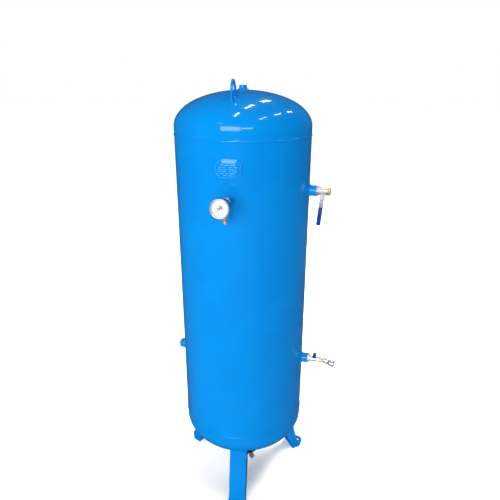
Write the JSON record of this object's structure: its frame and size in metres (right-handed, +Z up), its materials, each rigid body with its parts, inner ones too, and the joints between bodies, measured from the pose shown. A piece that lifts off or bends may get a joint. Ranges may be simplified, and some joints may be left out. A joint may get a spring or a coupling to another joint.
{
  "type": "air receiver tank",
  "caption": "Vertical welded steel air receiver on splayed channel legs, with gauge tee, lever outlet valve, hose outlet, bottom drain and lifting lug.",
  "frame": {"origin": "on the tank axis at floor level, the centre of the three anchor holes", "axes": "+Z up along the tank axis; the gauge and nameplate face -Y; the two outlets are on the +X side"},
  "size_m": [0.6778, 0.6272, 1.6944],
  "materials": {
    "blue_paint": "glossy sprayed enamel over rolled steel",
    "nickel_plate": "bright nickel plate on brass",
    "brass": "turned brass",
    "bright_chrome": "polished plate",
    "zinc_steel": "zinc plated steel",
    "seat_plastic": "white fluoropolymer",
    "black_case": "black enamel and moulded black plastic",
    "gauge_glass": "clear flat lens",
    "dial_white": "printed white dial",
    "navy_vinyl": "dipped dark blue vinyl"
  },
  "bodies": {
    "tank": {"shell": "blue_paint", "top_head": "blue_paint", "bottom_head": "blue_paint", "seam_welds": "blue_paint", "socket_welds": "blue_paint", "leg_front": "blue_paint", "leg_right": "blue_paint", "leg_left": "blue_paint", "foot_front": "blue_paint", "foot_right": "blue_paint", "foot_left": "blue_paint", "lifting_lug": "blue_paint", "top_socket": "blue_paint", "gauge_socket": "blue_paint", "outlet_socket": "blue_paint", "service_socket": "blue_paint", "spare_socket": "blue_paint", "drain_socket": "blue_paint", "spare_plug": "brass", "nameplate": "blue_paint", "nameplate_rivets": "blue_paint", "gauge_tee": "nickel_plate", "relief_body": "nickel_plate", "relief_bonnet": "brass", "relief_spring": "zinc_steel", "gauge_stem": "brass", "gauge_case": "black_case", "gauge_bezel": "bright_chrome", "gauge_glass": "gauge_glass", "gauge_dial": "dial_white", "bourdon_tube": "brass", "gauge_frame": "brass", "outlet_reducer": "nickel_plate", "outlet_body": "nickel_plate", "outlet_end": "brass", "outlet_seats": "seat_plastic", "outlet_gland": "brass", "service_valve": "nickel_plate", "service_seats": "seat_plastic", "service_nipple": "brass", "drain_elbow": "nickel_plate", "drain_nipple": "nickel_plate", "drain_valve": "nickel_plate", "drain_seats": "seat_plastic"},
    "outlet_handle": {"outlet_lever": "zinc_steel", "outlet_lever_nut": "zinc_steel", "outlet_sleeve": "navy_vinyl", "outlet_stem": "brass", "outlet_ball": "nickel_plate"},
    "service_wing": {"service_handle": "navy_vinyl", "service_ball": "nickel_plate"},
    "drain_wing": {"drain_handle": "black_case", "drain_ball": "nickel_plate"},
    "relief_pull": {"relief_stem": "brass", "relief_knob": "nickel_plate"},
    "gauge_sector_arm": {"gauge_sector": "brass"},
    "gauge_hand": {"gauge_pointer": "black_case"},
    "hose_coupler": {"coupler_body": "bright_chrome", "coupler_spring": "zinc_steel"},
    "coupler_collar": {"coupler_sleeve": "bright_chrome"}
  },
  "joints": [
    {"name": "outlet_lever_turn", "type": "hinge", "parent": "tank", "child": "outlet_handle", "pos_m": [0.30384, -0.02658, 1.312], "axis": [-0.0872, -0.9962, 0], "range_deg": [0, 90]},
    {"name": "service_wing_turn", "type": "hinge", "parent": "tank", "child": "service_wing", "pos_m": [0.30384, -0.02658, 0.604], "axis": [0, 0, 1], "range_deg": [0, 90]},
    {"name": "drain_wing_turn", "type": "hinge", "parent": "tank", "child": "drain_wing", "pos_m": [0.049, -0.08487, 0.115], "axis": [0, 0, 1], "range_deg": [0, 90]},
    {"name": "relief_pull_slide", "type": "slide", "parent": "tank", "child": "relief_pull", "axis": [0, 0, -1], "range_m": [0, 0.0025], "stiffness_N_per_m": 1500, "springref_m": -0.004, "deforming": ["relief_spring"]},
    {"name": "gauge_sector_turn", "type": "hinge", "parent": "tank", "child": "gauge_sector_arm", "pos_m": [0, -0.3567, 1.3057], "axis": [0, -1, 0], "range_deg": [0, 31.6]},
    {"name": "gauge_hand_turn", "type": "hinge", "parent": "tank", "child": "gauge_hand", "pos_m": [0, -0.36, 1.32], "axis": [0, -1, 0], "range_deg": [-270, 0]},
    {"name": "coupler_tilt", "type": "hinge", "parent": "tank", "child": "hose_coupler", "pos_m": [0.34219, -0.02994, 0.604], "axis": [-0.0872, -0.9962, 0], "range_deg": [0, 36]},
    {"name": "coupler_collar_slide", "type": "slide", "parent": "hose_coupler", "child": "coupler_collar", "axis": [-0.9474, 0.0829, 0.309], "range_m": [0, 0.005], "stiffness_N_per_m": 900, "springref_m": -0.004, "deforming": ["coupler_spring"]}
  ],
  "couplings": [
    {"joint": "gauge_hand_turn", "follows": "gauge_sector_turn", "ratio": -8.5333}
  ]
}
